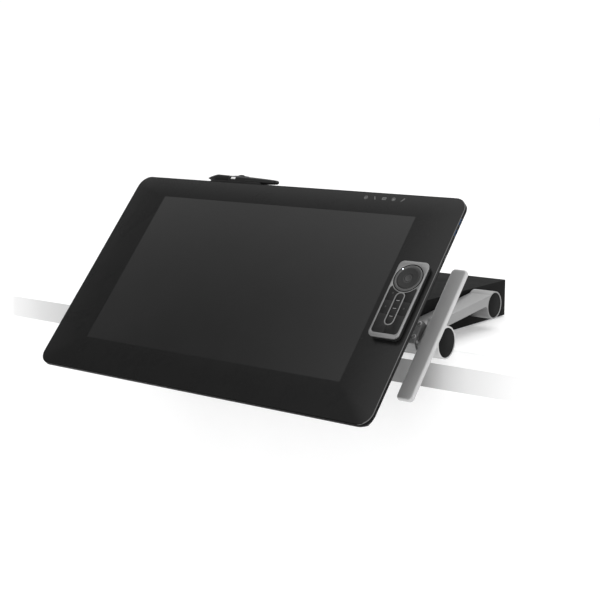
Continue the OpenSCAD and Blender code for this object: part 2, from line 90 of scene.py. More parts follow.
class Nodes:
    """Small helper that adds and links shader nodes."""

    def __init__(self, name):
        self.material = bpy.data.materials.new(name)
        self.material.use_nodes = True
        self.tree = self.material.node_tree
        self.shader = self.tree.nodes["Principled BSDF"]
        self.place = self.add("ShaderNodeTexCoord").outputs["Object"]

    def add(self, kind, **inputs):
        node = self.tree.nodes.new(kind)
        for key, value in inputs.items():
            node.inputs[key].default_value = value
        return node

    def link(self, source, target):
        self.tree.links.new(source, target)

    def noise(self, scale, detail=3.0, place=None):
        node = self.add("ShaderNodeTexNoise", Scale=scale, Detail=detail, Roughness=0.55)
        self.link(place or self.place, node.inputs["Vector"])
        return node.outputs["Fac"]

    def spread(self, value, low, high):
        """Maps the middle of a noise's range onto two values."""
        node = self.tree.nodes.new("ShaderNodeMapRange")
        self.link(value, node.inputs["Value"])
        for key, number in (("From Min", 0.3), ("From Max", 0.7), ("To Min", low), ("To Max", high)):
            node.inputs[key].default_value = number
        return node.outputs["Result"]

    def math(self, kind, first, second):
        node = self.tree.nodes.new("ShaderNodeMath")
        node.operation = kind
        for socket, value in zip(node.inputs, (first, second)):
            if isinstance(value, (int, float)):
                socket.default_value = value
            else:
                self.link(value, socket)
        return node.outputs[0]

    def stretched(self, scales):
        """Coordinates along the display's own axes, each with its own scale."""
        combine = self.tree.nodes.new("ShaderNodeCombineXYZ")
        for socket, axis, scale in zip(combine.inputs, (RIGHT, UP, OUT), scales):
            dot = self.tree.nodes.new("ShaderNodeVectorMath")
            dot.operation = "DOT_PRODUCT"
            self.link(self.place, dot.inputs[0])
            dot.inputs[1].default_value = axis * scale
            self.link(dot.outputs["Value"], socket)
        return combine.outputs[0]

    def colour(self, tone, value, spread):
        """Base colour that varies by the given share round its tone."""
        mix = self.tree.nodes.new("ShaderNodeMix")
        mix.data_type = "RGBA"
        self.link(value, mix.inputs["Factor"])
        mix.inputs["A"].default_value = [c * (1 - spread) for c in tone] + [1]
        mix.inputs["B"].default_value = [min(1, c * (1 + spread)) for c in tone] + [1]
        self.link(mix.outputs["Result"], self.shader.inputs["Base Color"])

    def bump(self, height, distance):
        node = self.add("ShaderNodeBump", Strength=1.0, Distance=distance)
        self.link(height, node.inputs["Height"])
        self.link(node.outputs["Normal"], self.shader.inputs["Normal"])


def surface(name, tone, rough, vary=0.06, rough_vary=0.05, metallic=0.0, grain=1800.0, depth=0.00002,
            specular=0.5, ior=1.5, streaks=None, blotch=9.0):
    """A finish with fine grain, slow changes of tone and uneven gloss."""
    if isinstance(tone, (int, float)):
        tone = (tone, tone, tone)
    n = Nodes(name)
    n.shader.inputs["Metallic"].default_value = metallic
    n.shader.inputs["Specular IOR Level"].default_value = specular
    n.shader.inputs["IOR"].default_value = ior
    slow = n.noise(blotch, detail=4.0)
    n.colour(tone, n.spread(slow, 0, 1), vary)
    if streaks:
        fine = n.noise(1.0, detail=2.0, place=n.stretched(streaks))
    else:
        fine = n.noise(grain, detail=2.0)
    patches = n.math("MULTIPLY", n.noise(blotch * 4, detail=2.0), 0.6)
    uneven = n.math("ADD", patches, n.math("MULTIPLY", fine, 0.4))
    n.link(n.spread(uneven, rough - rough_vary, rough + rough_vary), n.shader.inputs["Roughness"])
    n.bump(fine, depth)
    return n.material


LONG_GRAIN = (5200.0, 260.0, 5200.0)  # streaks that run up the display
ETCHED = {"specular": 0.46, "vary": 0.05, "grain": 5200, "depth": 0.0000035, "rough_vary": 0.02,
          "blotch": 4.0}

MATERIALS = {
    "base_black": surface("black_powder_coat", 0.0092, 0.6, specular=0.12, ior=1.2, vary=0.1, grain=2600,
                          depth=0.00006),
    "base_steel": surface("zinc_plate", (0.42, 0.43, 0.46), 0.34, metallic=1.0, vary=0.12, grain=900),
    "iron": surface("cast_iron", 0.09, 0.7, metallic=0.6, vary=0.2, grain=1200, depth=0.0001),
    "bronze": surface("sintered_bronze", (0.55, 0.38, 0.17), 0.4, metallic=1.0, grain=3000),
    "spring_steel": surface("spring_steel", 0.26, 0.3, metallic=1.0, grain=700),
    "rubber": surface("rubber", 0.018, 0.8, vary=0.15, grain=1500, depth=0.00008, specular=0.25),
    "alloy": surface("satin_alloy", 0.26, 0.4, metallic=0.7, vary=0.035, streaks=LONG_GRAIN, depth=0.00001),
    "alloy_dark": surface("dark_anodised_alloy", 0.2, 0.45, metallic=0.4, grain=2200, depth=0.00002),
    "cap_black": surface("black_cap_plastic", 0.006, 0.5, vary=0.12, grain=2400, depth=0.00003, specular=0.2,
                         ior=1.2),
    "washer": surface("acetal", 0.045, 0.5),
    "screw": surface("satin_screw", 0.5, 0.42, metallic=1.0, grain=900, depth=0.00001),
    "cover_glass": surface("etched_glass_border", 0.006, 0.28, **ETCHED),
    "lcd": surface("dark_panel", 0.012, 0.5),
    "frame_edge": surface("dark_frame_side", 0.004, 0.4, grain=2400, ior=1.15),
    "rear_metal": surface("black_magnesium", 0.022, 0.5, vary=0.12, grain=1900, depth=0.00007),
    "board": surface("circuit_board", (0.008, 0.075, 0.035), 0.35, vary=0.3, grain=700),
    "port_shell": surface("nickel_shell", 0.35, 0.3, metallic=1.0, grain=1200),
    "port_blue": surface("blue_tongue", (0.015, 0.07, 0.19), 0.4, vary=0.1, specular=0.3),
    "fan_black": surface("fan_plastic", 0.016, 0.42, vary=0.1),
    "button": surface("button_plastic", 0.03, 0.4, vary=0.08),
    "tray": surface("tray_plastic", 0.007, 0.5, vary=0.1, grain=2100, depth=0.00004, specular=0.2),
    "pen_body": surface("pen_plastic", 0.012, 0.4, vary=0.1, grain=2600, depth=0.000015, specular=0.35),
    "pen_rubber": surface("pen_grip_rubber", 0.009, 0.7, vary=0.15, grain=3200, depth=0.00003, specular=0.25),
    "pen_gloss": surface("pen_gloss", 0.004, 0.3, vary=0.1, rough_vary=0.02, specular=0.12, ior=1.3),
    "nib": surface("nib_plastic", 0.02, 0.5),
    "remote_black": surface("remote_base_plastic", 0.01, 0.45, vary=0.1, grain=2400, depth=0.00003,
                            specular=0.3),
    "remote_alloy": surface("bead_blasted_alloy", 0.34, 0.36, metallic=0.75, vary=0.05, grain=4200,
                            depth=0.00001),
    "ring_black": surface("ring_satin", 0.022, 0.3, vary=0.08, grain=4200, depth=0.000008),
    "key_black": surface("key_plastic", 0.009, 0.38, vary=0.12, grain=3200, depth=0.00002, specular=0.35),
}
PICTURE = surface("picture_area", 0.011, 0.32, **ETCHED)
# Painted highlight: a brighter metallic finish that goes only on the left and right faces of the frame's chamfer.
PAINTED_EDGE_HIGHLIGHT = surface("painted_edge_highlight", 0.13, 0.35, metallic=0.8, vary=0.06, streaks=LONG_GRAIN,
                    depth=0.000004)
LEVER = surface("satin_alloy_lever", 0.5, 0.4, metallic=0.4, vary=0.035, streaks=LONG_GRAIN, depth=0.00001)
PRINT = surface("printed_mark", 0.2, 0.5, vary=0.08, grain=5200)
BAR_PRINT = surface("key_bar", 0.3, 0.5, vary=0.08, grain=5200)
RING_RIM = surface("ring_groove", 0.004, 0.4, vary=0.1, grain=5200, specular=0.2)
# Painted highlight: a white patch on the pen's barrel under the rocker's nose, in the place of a glint.
GLINT_PAINT = surface("painted_glint_white", 0.85, 0.3, vary=0.03, grain=3200, depth=0.000005)
RING_TRACK = surface("ring_track", 0.1, 0.32, vary=0.1, grain=5200, metallic=0.3)
RING_BUTTON = surface("ring_button_satin", 0.045, 0.32, vary=0.08, grain=4200, depth=0.000008)


def glow(name, tone, strength):
    """A small lamp with a brighter middle."""
    n = Nodes(name)
    n.colour(tone, n.spread(n.noise(900.0), 0, 1), 0.1)
    n.shader.inputs["Emission Color"].default_value = (*tone, 1)
    n.shader.inputs["Emission Strength"].default_value = strength
    return n.material


LAMP = glow("white_led", (0.9, 0.95, 1.0), 6.0)

# ---------- mesh tools ----------


def finish_mesh(name, bm, body, slot, material=None, smooth=35, replaces=()):
    """Turns a bmesh into a piece that rides on a body."""
    bmesh.ops.recalc_face_normals(bm, faces=bm.faces)
    mesh = bpy.data.meshes.new(name)
    bm.to_mesh(mesh)
    bm.free()
    mesh.polygons.foreach_set("use_smooth", [True] * len(mesh.polygons))
    mesh.set_sharp_from_angle(angle=math.radians(smooth))
    piece = bpy.data.objects.new(name, mesh)
    bpy.context.scene.collection.objects.link(piece)
    mesh.materials.append(material or MATERIALS[slot])
    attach(piece, body)
    if replaces:
        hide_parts(*replaces)
    return piece


def loft(bm, loops, closed=False):
    """Skins equal loops of points, with a cap at each end, or else closed from the last loop to the first."""
    rings = [[bm.verts.new(point) for point in loop] for loop in loops]
    count = len(rings[0])
    pairs = list(zip(rings, rings[1:])) + ([(rings[-1], rings[0])] if closed else [])
    for a, b in pairs:
        for i in range(count):
            j = (i + 1) % count
            bm.faces.new((a[i], a[j], b[j], b[i]))
    if not closed:
        bm.faces.new(list(reversed(rings[0])))
        bm.faces.new(rings[-1])


def rounded(width, height, radius, steps=10):
    """Points of a rectangle with round corners, anticlockwise round the origin."""
    radius = max(0.01, min(radius, width / 2 - 0.001, height / 2 - 0.001))
    points = []
    for quarter, (sx, sy) in enumerate(((1, 1), (-1, 1), (-1, -1), (1, -1))):
        cx = sx * (width / 2 - radius)
        cy = sy * (height / 2 - radius)
        for i in range(steps + 1):
            angle = math.radians(90 * (quarter + i / steps))
            points.append((cx + radius * math.cos(angle), cy + radius * math.sin(angle)))
    return points


def edge_profile(z0, z1, low_r, high_r, steps):
    """Pairs of inset and height up the side of a slab with rounded lower and upper edges."""
    pairs = []
    for i in range(steps + 1):
        angle = math.radians(90 * i / steps)
        pairs.append((low_r * (1 - math.sin(angle)), z0 + low_r * (1 - math.cos(angle))))
    for i in range(steps + 1):
        angle = math.radians(90 * i / steps)
        pairs.append((high_r * (1 - math.cos(angle)), z1 - high_r * (1 - math.sin(angle))))
    return pairs


def rect_loops(matrix, centre, size, radius, profile):
    """Loops of a rounded rectangle, one for each inset and height of a profile."""
    loops = []
    for inset, z in profile:
        outline = rounded(size[0] - 2 * inset, size[1] - 2 * inset, radius - inset)
        loops.append([matrix @ Vector((centre[0] + x, centre[1] + y, z)) for x, y in outline])
    return loops


def turned_loops(matrix, points, steps):
    """Loops of a solid turned about the local Z axis, from pairs of radius and height."""
    loops = []
    for radius, z in points:
        angles = [2 * math.pi * i / steps for i in range(steps)]
        loops.append([matrix @ Vector((radius * math.cos(a), radius * math.sin(a), z)) for a in angles])
    return loops


def joined_copy(node):
    """A bmesh copy of a CAD node, with its split corners merged and its flat faces joined."""
    bm = bmesh.new()
    bm.from_mesh(NODES[node].data)
    bmesh.ops.remove_doubles(bm, verts=bm.verts, dist=MERGE)
    bmesh.ops.dissolve_limit(bm, angle_limit=math.radians(0.6), verts=bm.verts, edges=bm.edges)
    return bm


def round_edges(bm, width, segments=2, sharp=24, chosen=None):
    """Rounds a bmesh's sharp edges, or those of them that a test picks."""
    edges = [e for e in bm.edges if len(e.link_faces) == 2 and e.calc_face_angle() > math.radians(sharp)]
    if chosen:
        edges = [e for e in edges if chosen(e)]
    bmesh.ops.bevel(bm, geom=edges, offset=width * MM, offset_type="OFFSET", segments=segments, profile=0.5,
                    affect="EDGES", clamp_overlap=True, loop_slide=True)


def refined(node, width, segments=2, sharp=24):
    """A copy of a CAD node with its flat faces joined and its sharp edges rounded, in the node's place."""
    bm = joined_copy(node)
    round_edges(bm, width, segments, sharp)
    finish_mesh(node + "_fine", bm, BODIES[node], SLOTS[node], smooth=40, replaces=(node,))


# ---------- display ----------

low, high = node_box("cover_glass", DISPLAY)
GLASS_W = high.x - low.x
GLASS_H = high.y - low.y
GLASS_R = 20.5                        # radius of the glass's corners
panel_low, panel_high = node_box("lcd_panel", DISPLAY)
PANEL_EDGE = 9.0                      # how far the panel reaches past the picture on each side
SCREEN_W = panel_high.x - panel_low.x - 2 * PANEL_EDGE
SCREEN_H = panel_high.y - panel_low.y - 2 * PANEL_EDGE
SCREEN_MID = ((panel_low.x + panel_high.x) / 2, (panel_low.y + panel_high.y) / 2)


def make_glass():
    """The border of the cover glass, with a chamfered rim and a window for the picture area."""
    bm = bmesh.new()
    outer = rect_loops(DISPLAY, (0, 0), (GLASS_W, GLASS_H), GLASS_R, edge_profile(-GLASS_T, 0, 0.05, 0.45, 3))
    inner = rect_loops(DISPLAY, SCREEN_MID, (SCREEN_W, SCREEN_H), 0.6, ((0, 0), (0, -GLASS_T)))
    loft(bm, outer + inner, closed=True)
    finish_mesh("glass_border", bm, "display", "cover_glass", replaces=("cover_glass",))
    bm = bmesh.new()
    gap = 0.06
    profile = [(gap, -GLASS_T), (gap, -0.05), (gap + 0.1, -0.02)]
    loft(bm, rect_loops(DISPLAY, SCREEN_MID, (SCREEN_W, SCREEN_H), 0.6, profile))
    finish_mesh("picture_area", bm, "display", "cover_glass", PICTURE, replaces=("cover_glass",))


def beyond_glass(x, y):
    """How far a point of the display's face lies outside the glass."""
    across = abs(x) - (GLASS_W / 2 - GLASS_R)
    along = abs(y) - (GLASS_H / 2 - GLASS_R)
    return math.hypot(max(across, 0), max(along, 0)) + min(max(across, along), 0) - GLASS_R


FRAME_CHAMFER = 0.95  # width of the chamfer round the frame's front


def make_frame():
    """The frame's black side, with a chamfer round its front that is bright at the left and right: a painted
    highlight.
    """
    inverse = DISPLAY.inverted()

    def on_front_edge(edge):
        places = [inverse @ vertex.co for vertex in edge.verts]
        return all(p.z > -0.05 and beyond_glass(p.x, p.y) > 0.9 for p in places)

    bm = joined_copy("front_frame")
    round_edges(bm, FRAME_CHAMFER, 2, 50, on_front_edge)
    round_edges(bm, 0.2, 1, 60)
    piece = finish_mesh("front_frame_fine", bm, "display", "frame_edge", replaces=("front_frame",))
    piece.data.materials.append(PAINTED_EDGE_HIGHLIGHT)
    for face in piece.data.polygons:
        place = inverse @ face.center
        facing = face.normal.dot(OUT)
        if beyond_glass(place.x, place.y) > 0.3 and place.z > -FRAME_CHAMFER and 0.1 < facing < 0.97:
            # only the chamfer faces turned to the left or right take the painted highlight
            if abs(face.normal.dot(RIGHT)) > 0.2:
                face.material_index = 1


def flat_marks(name, shapes, z, height, body, slot, material):
    """Thin raised outlines, each a closed ring or a filled shape, joined into one piece."""
    bm = bmesh.new()
    for outline, hole in shapes:
        base = [DISPLAY @ Vector((x, y, z)) for x, y in outline]
        top = [DISPLAY @ Vector((x, y, z + height)) for x, y in outline]
        if hole:
            inner_base = [DISPLAY @ Vector((x, y, z)) for x, y in hole]
            inner_top = [DISPLAY @ Vector((x, y, z + height)) for x, y in hole]
            loft(bm, [base, top, inner_top, inner_base], closed=True)
        else:
            loft(bm, [base, top])
    finish_mesh(name, bm, body, slot, material)


def moved(points, x, y, turn=0.0):
    c, s = math.cos(turn), math.sin(turn)
    return [(x + px * c - py * s, y + px * s + py * c) for px, py in points]


def circle(radius, steps=32):
    return [(radius * math.cos(2 * math.pi * i / steps), radius * math.sin(2 * math.pi * i / steps))
            for i in range(steps)]


ICON_Y = 186.0
ICON_X = (155.5, 172.5, 190.0, 207.5, 225.0)
ICON_LINE = 0.7  # width of an outlined mark's line


def make_icons():
    """Five touch marks on the top border: dot in a ring, tilted bar, keyboard, screen and pencil."""
    bar = rounded(6.6, 1.2, 0.5, 6)
    wide = rounded(7.4, 4.8, 1.0, 6)
    wide_hole = rounded(7.4 - 2 * ICON_LINE, 4.8 - 2 * ICON_LINE, 0.5, 6)
    shapes = [
        [(circle(3.2), circle(3.2 - ICON_LINE)), (circle(1.2), None)],
        [(moved(bar, 0, 0, math.radians(-66)), None)],
        [(wide, wide_hole)] + [(moved(rounded(0.9, 0.9, 0.2, 3), x, y), None)
                               for x in (-2.1, -0.7, 0.7, 2.1) for y in (-0.8, 0.8)],
        [(circle(3.1), circle(3.1 - ICON_LINE)), (rounded(3.0, 2.4, 0.4, 4), None)],
        [(moved(bar, 0.4, 0.4, math.radians(50)), None),
         (moved(rounded(1.2, 1.2, 0.3, 4), -2.3, -2.7), None)],
    ]
    for number, (x, parts) in enumerate(zip(ICON_X, shapes), 1):
        placed = [(moved(a, x, ICON_Y), moved(b, x, ICON_Y) if b else None) for a, b in parts]
        flat_marks(f"touch_mark_{number}", placed, 0.0, 0.05, "display", "cover_glass", PRINT)


def make_display():
    make_glass()
    make_frame()
    make_icons()
    refined("pen_tray", 0.5)
    refined("power_button", 0.35, segments=3)
    refined("back_plate", 0.5)
    refined("rear_cover", 0.8, segments=3, sharp=15)
    refined("mount_block", 1.0)


# ---------- remote ----------

ring_low, ring_high = node_box("remote_ring", DISPLAY)
RING_R = (ring_high.x - ring_low.x) / 2
RING_AT = ((ring_low.x + ring_high.x) / 2, (ring_low.y + ring_high.y) / 2)
RING_TOP = ring_high.z
RING = DISPLAY @ Matrix.Translation((RING_AT[0], RING_AT[1], 0))
BUTTON_HOLE_R = 6.5


def make_ring():
    """The touch ring: a dark groove, a rolled band and a dished middle."""
    bottom = ring_low.z
    top = RING_TOP
    band_in, band_out = RING_R - 5.2, RING_R - 1.3
    inner = BUTTON_HOLE_R
    span = band_in - 0.6 - inner - 0.3
    dish = [(inner, bottom + 1), (inner, top - 0.75), (inner + 0.3, top - 0.55)]
    dish += [(inner + 0.3 + span * t, top - 0.55 + 0.35 * t * t) for t in (0.2, 0.4, 0.6, 0.8, 1.0)]
    dish += [(band_in - 0.3, top - 0.35), (band_in - 0.1, top - 0.9), (band_in - 0.1, bottom + 1)]
    bm = bmesh.new()
    loft(bm, turned_loops(RING, dish, 96), closed=True)
    finish_mesh("ring_dish", bm, "remote", "ring_black", replaces=("remote_ring",))
    middle = (band_in + band_out) / 2
    half = (band_out - band_in) / 2
    band = [(band_in, bottom + 1), (band_in, top - 0.8)]
    for i in range(1, 8):
        angle = math.radians(180 - 180 * i / 8)
        band.append((middle + half * math.cos(angle), top - 0.8 + 0.75 * math.sin(angle)))
    band += [(band_out, top - 0.8), (band_out, bottom + 1)]
    bm = bmesh.new()
    loft(bm, turned_loops(RING, band, 96), closed=True)
    finish_mesh("ring_band", bm, "remote", "ring_black", RING_TRACK, replaces=("remote_ring",))
    groove = [(band_out, bottom), (band_out, top - 1.1), (RING_R - 0.5, top - 1.0),
              (RING_R - 0.15, top - 0.45), (RING_R, top - 0.5), (RING_R, bottom)]
    bm = bmesh.new()
    loft(bm, turned_loops(RING, groove, 96), closed=True)
    finish_mesh("ring_groove", bm, "remote", "ring_black", RING_RIM, replaces=("remote_ring",))


def make_ring_button():
    low, high = node_box("ring_button", DISPLAY)
    r = (high.x - low.x) / 2
    profile = [(r - 0.4, low.z), (r, low.z + 0.4), (r, high.z - 0.7), (r - 0.25, high.z - 0.2)]
    profile += [(r - 0.8, high.z), (r - 1.8, high.z - 0.25), (r - 3.2, high.z - 0.5), (0.6, high.z - 0.6)]
    bm = bmesh.new()
    loft(bm, turned_loops(RING, profile, 64))
    finish_mesh("ring_button_fine", bm, "ring_button", "ring_black", RING_BUTTON, replaces=("ring_button",))


LED_ANGLE = math.radians(137)
LED_R = 20.8


def make_led():
    """A white lamp in the ring's track."""
    x = RING_AT[0] + LED_R * math.cos(LED_ANGLE)
    y = RING_AT[1] + LED_R * math.sin(LED_ANGLE)
    at = DISPLAY @ Matrix.Translation((x, y, RING_TOP - 0.9))
    bm = bmesh.new()
    loft(bm, turned_loops(at, [(1.0, 0), (1.0, 0.5), (0.85, 0.75), (0.5, 0.9), (0.1, 0.95)], 24))
    finish_mesh("ring_lamp", bm, "remote", "ring_black", LAMP)


BAR_W = 6.0  # width of the light bar on a middle key
KEYS = [f"{side}_key_{row}" for side in ("left", "right") for row in (1, 2, 3)]
MIDDLE_KEYS = [f"middle_key_{row}" for row in (1, 2, 3, 4)]


def make_keys():
    """Soft-edged keys: a light bar on each middle key but the last, and a ring on three side keys."""
    for key in KEYS + MIDDLE_KEYS:
        refined(key, 0.6, segments=3)
    for key in MIDDLE_KEYS[:-1]:
        low, high = node_box(key, DISPLAY)
        mark = moved(rounded(BAR_W, 0.9, 0.4, 4), (low.x + high.x) / 2, low.y + 1.3)
        flat_marks(key + "_bar", [(mark, None)], high.z - 0.02, 0.12, key, "key_black", BAR_PRINT)
    for key in ("left_key_1", "left_key_2", "right_key_2"):
        low, high = node_box(key, DISPLAY)
        spot = ((low.x + high.x) / 2, (low.y + high.y) / 2)
        mark = moved(circle(1.3, 20), *spot)
        hole = moved(circle(0.8, 20), *spot)
        flat_marks(key + "_dot", [(mark, hole)], high.z - 0.02, 0.12, key, "key_black", RING_TRACK)


def make_remote():
    refined("remote_frame", 0.8, segments=3)
    refined("remote_base", 0.9, segments=3)
    make_ring()
    make_ring_button()
    make_led()
    make_keys()


# ---------- pen ----------

nib_low, nib_high = node_box("pen_nib", DISPLAY)
PEN_Y = (nib_low.y + nib_high.y) / 2
PEN_Z = (nib_low.z + nib_high.z) / 2
PEN = DISPLAY @ Matrix.Translation((nib_low.x, PEN_Y, PEN_Z)) @ Matrix.Rotation(math.pi / 2, 4, "Y")
GRIP_R = 7.5       # radius of the grip at its first rib
GRIP_TAPER = 0.6   # how much thinner it is at the end of its ribs
GRIP_RIBBED = 27   # length of its ribbed part
RIBS = 13
RIBS_FROM = 24     # distance of the first rib from the tip
RIB_PITCH = 1.9
RIB_DEPTH = 0.12


def turned_piece(name, points, body, slot, replaces):
    bm = bmesh.new()
    loft(bm, turned_loops(PEN, [(r, z) for z, r in points], 48))
    finish_mesh(name, bm, body, slot, replaces=replaces)


def make_pen():
    """The pen, from its nib to its eraser: distances are from the tip."""
    turned_piece("pen_nib_fine", [(0, 0.2), (0.12, 0.42), (0.5, 0.72), (1.2, 0.8), (8, 0.8)],
                 "pen_nib", "nib", ("pen_nib",))
    bm = bmesh.new()
    nose = [(2.6, 0.9), (2.6, 1.5), (2.9, 1.75), (4, 2.2), (8, 3.6), (12, 4.9), (16, 6.1), (19, 6.8)]
    nose += [(20.4, 7.0), (21, 6.9), (21, 0.9)]
    loft(bm, turned_loops(PEN, [(r, z) for z, r in nose], 48), closed=True)
    finish_mesh("pen_nose_fine", bm, "pen", "pen_body", replaces=("pen_nose",))
    ribs = []
    for i in range(RIBS):
        start = RIBS_FROM + i * RIB_PITCH
        r = GRIP_R - GRIP_TAPER * (start - RIBS_FROM) / GRIP_RIBBED
        ribs += [(start, r), (start + 1.3, r), (start + 1.45, r - RIB_DEPTH), (start + 1.75, r - RIB_DEPTH)]
    turned_piece("pen_grip_fine", [(21, 6.9), (21.4, 7.3), (22.6, 7.48)] + ribs + [(50.4, 6.85), (51, 6.7)],
                 "pen", "pen_rubber", ("pen_grip",))
    refined("pen_barrel", 0.25, segments=2)
    make_rocker()
    # the white patch on the barrel is a painted highlight
    make_painted_glint()
    refined("pen_eraser", 0.35, segments=3)


BOSS_R = 1.6  # radius of the boss on which the rocker turns


def make_rocker():
    """The rocker: a slim plate with a raised middle, on a boss, in the CAD rocker's place."""
    low, high = node_box("pen_switch", DISPLAY)
    x_mid = (low.x + high.x) / 2
    half = (high.x - low.x) / 2
    width = high.z - low.z
    z_mid = (low.z + high.z) / 2
    steps = 48
    loops = []
    for i in range(steps + 1):
        t = -1 + 2 * i / steps
        hump = math.exp(-((t / 0.34) ** 4))
        end = math.sqrt(max(0.0, 1 - abs(t) ** 10))
        top = high.y - 1.7 * (1 - hump) - 0.5 * t * t - 1.4 * (1 - end)
        across = max(0.3, width * (0.86 + 0.14 * hump) * max(0.25, end))
        base = low.y + BOSS_R + abs(t)
        if abs(half * t) < BOSS_R:
            base -= math.sqrt(BOSS_R ** 2 - (half * t) ** 2)
        corner = min(0.8, (top - base) / 2 - 0.01)
        outline = []
        for y, z in rounded(across, top - base, corner, 5):
            outline.append(DISPLAY @ Vector((x_mid + half * t, (top + base) / 2 + z, z_mid + y)))
        loops.append(outline)
    bm = bmesh.new()
    loft(bm, loops)
    finish_mesh("pen_switch_fine", bm, "pen_switch", "pen_gloss", replaces=("pen_switch",))


# where the painted highlight on the barrel starts and ends
GLINT_FROM, GLINT_TO = 57.0, 66.5  # distances from the pen's tip
BARREL_R = 6.9


def make_painted_glint():
    """A white patch let into the barrel, on its upper front side: a painted highlight in the place of a glint."""
    bm = bmesh.new()
    loops = []
    for z, grow in ((GLINT_FROM, 0.02), (GLINT_FROM + 0.5, 0.1), (GLINT_TO - 0.5, 0.06), (GLINT_TO, 0.0)):
        outline = []
        for r in (BARREL_R + grow, BARREL_R - 0.6):
            angles = [math.radians(a) for a in range(82, 113, 5)]
            if r < BARREL_R:
                angles.reverse()
            outline += [PEN @ Vector((-r * math.sin(a), r * math.cos(a), z)) for a in angles]
        loops.append(outline)
    loft(bm, loops)
    finish_mesh("pen_painted_glint", bm, "pen", "pen_body", GLINT_PAINT)


# ---------- stand ----------


def screw_head(bm, matrix, radius, height):
    """A pan head with a hexagon socket, standing on the local XY plane."""
    hexagon = radius * 0.36
    dome = ((1, 0), (1, 0.3), (0.95, 0.5), (0.84, 0.7), (0.68, 0.87), (0.48, 1))
    outer = [(radius * across, height * up) for across, up in dome]
    steps = 48

    def hex_radius(angle):
        sector = math.pi / 3
        return hexagon * math.cos(math.pi / 6) / math.cos((angle % sector) - sector / 2)

    loops = turned_loops(matrix, outer, steps)
    for z in (height, height * 0.55):
        angles = [2 * math.pi * i / steps for i in range(steps)]
        loops.append([matrix @ Vector((hex_radius(a) * math.cos(a), hex_radius(a) * math.sin(a), z))
                      for a in angles])
    loft(bm, loops)


def node_islands(node, matrix):
    """Lowest and highest corner, in a local frame, of each separate solid in a CAD node."""
    bm = bmesh.new()
    bm.from_mesh(NODES[node].data)
    bmesh.ops.remove_doubles(bm, verts=bm.verts, dist=MERGE)
    inverse = matrix.inverted()
    left = set(bm.verts)
    boxes = []
    while left:
        stack = [left.pop()]
        island = []
        while stack:
            vertex = stack.pop()
            island.append(inverse @ vertex.co)
            for edge in vertex.link_edges:
                other = edge.other_vert(vertex)
                if other in left:
                    left.discard(other)
                    stack.append(other)
        boxes.append(tuple(Vector([pick(p[i] for p in island) for i in range(3)]) for pick in (min, max)))
    bm.free()
    return sorted(boxes, key=lambda pair: tuple(round(c, 1) for c in pair[0]))


THIN_HEAD = 1.5  # heads thinner than this stand on faces turned to the front


def make_screws(node, body):
    """Socket screws in the places of a CAD node's plain ones. All but the thin heads face the back."""
    bm = bmesh.new()
    for low, high in node_islands(node, DISPLAY):
        middle = (low + high) / 2
        faces_out = high.z - low.z < THIN_HEAD
        at = DISPLAY @ Matrix.Translation((middle.x, middle.y, low.z if faces_out else high.z))
        if not faces_out:
            at = at @ Matrix.Rotation(math.pi, 4, "X")
        screw_head(bm, at, (high.x - low.x) / 2, high.z - low.z)
    finish_mesh(node + "_fine", bm, body, SLOTS[node], replaces=(node,))


LEVER_W = 28.0
LEVER_BAR_T = 9.0   # thickness of the bar
LEVER_CORNER = 6.0  # radius of its corners
LEVER_CROWN = 70.0  # radius of the curve across it


def make_lever(side):
    """A lever: the CAD hub with rounded edges, under a crowned bar with soft ends."""
    node = "lever_" + side
    low, high = node_box(node, DISPLAY)
    mid_x = high.x - LEVER_W / 2 if side == "right" else low.x + LEVER_W / 2
    mid_y = (low.y + high.y) / 2
    length = high.y - low.y
    back = high.z - LEVER_BAR_T
    hidden = back + 2.0
    shrink = 2.5
    inverse = DISPLAY.inverted()
    bm = joined_copy(node)
    for vertex in bm.verts:
        place = inverse @ vertex.co
        on_side = abs(place.x - mid_x) > LEVER_W / 2 - 0.1
        on_end = abs(place.y - mid_y) > length / 2 - LEVER_CORNER - 0.1
        if place.z > back + 2.6 or (place.z > back - 0.1 and (on_side or on_end)):
            place.x = mid_x + (place.x - mid_x) * (1 - 2 * shrink / LEVER_W)
            place.y = mid_y + (place.y - mid_y) * (1 - 2 * shrink / length)
            place.z = min(place.z, hidden)
            vertex.co = DISPLAY @ place
    round_edges(bm, 0.8, 3)
    finish_mesh(node + "_hub", bm, node, "alloy", LEVER, replaces=(node,))
    profile = edge_profile(back, high.z, 2.0, 3.2, 6)
    profile += [(inset, high.z) for inset in (4.8, 6.6, 8.4, 10.2, 12.0, 13.2)]
    loops = []
    for inset, z in profile:
        share = (z - back) / LEVER_BAR_T
        outline = rounded(LEVER_W - 2 * inset, length - 2 * inset, LEVER_CORNER - inset * 0.5)
        loops.append([DISPLAY @ Vector((mid_x + x, mid_y + y, z - share * x * x / (2 * LEVER_CROWN)))
                      for x, y in outline])
    bm = bmesh.new()
    loft(bm, loops)
    finish_mesh(node + "_bar", bm, node, "alloy", LEVER, replaces=(node,))


def make_stand():
    refined("base_cover", 1.2, segments=3)
    refined("base_pad", 0.5)
    for side in ("right", "left"):
        refined("arm_" + side, 0.9, segments=3)
        make_lever(side)
        refined("lever_cap_" + side, 0.35)
        refined("tilt_bracket_" + side, 0.7)
    refined("arm_end_caps", 0.35)
    refined("tilt_beam", 1.5, segments=3)
    make_screws("bracket_screws", "display")
    make_screws("rear_screws", "display")


# ---------- the rest of the CAD nodes ----------


def finish_nodes():
    """Gives every CAD node its slot's finish."""
    for name, node in NODES.items():
        node.data.materials.clear()
        node.data.materials.append(MATERIALS[SLOTS[name]])


# ---------- stage ----------


def stage_piece(name, bm, material):
    mesh = bpy.data.meshes.new(name)
    bmesh.ops.recalc_face_normals(bm, faces=bm.faces)
    bm.to_mesh(mesh)
    bm.free()
    mesh.materials.append(material)
    mesh.polygons.foreach_set("use_smooth", [True] * len(mesh.polygons))
    mesh.set_sharp_from_angle(angle=math.radians(40))
    piece = bpy.data.objects.new(name, mesh)
    bpy.context.scene.collection.objects.link(piece)


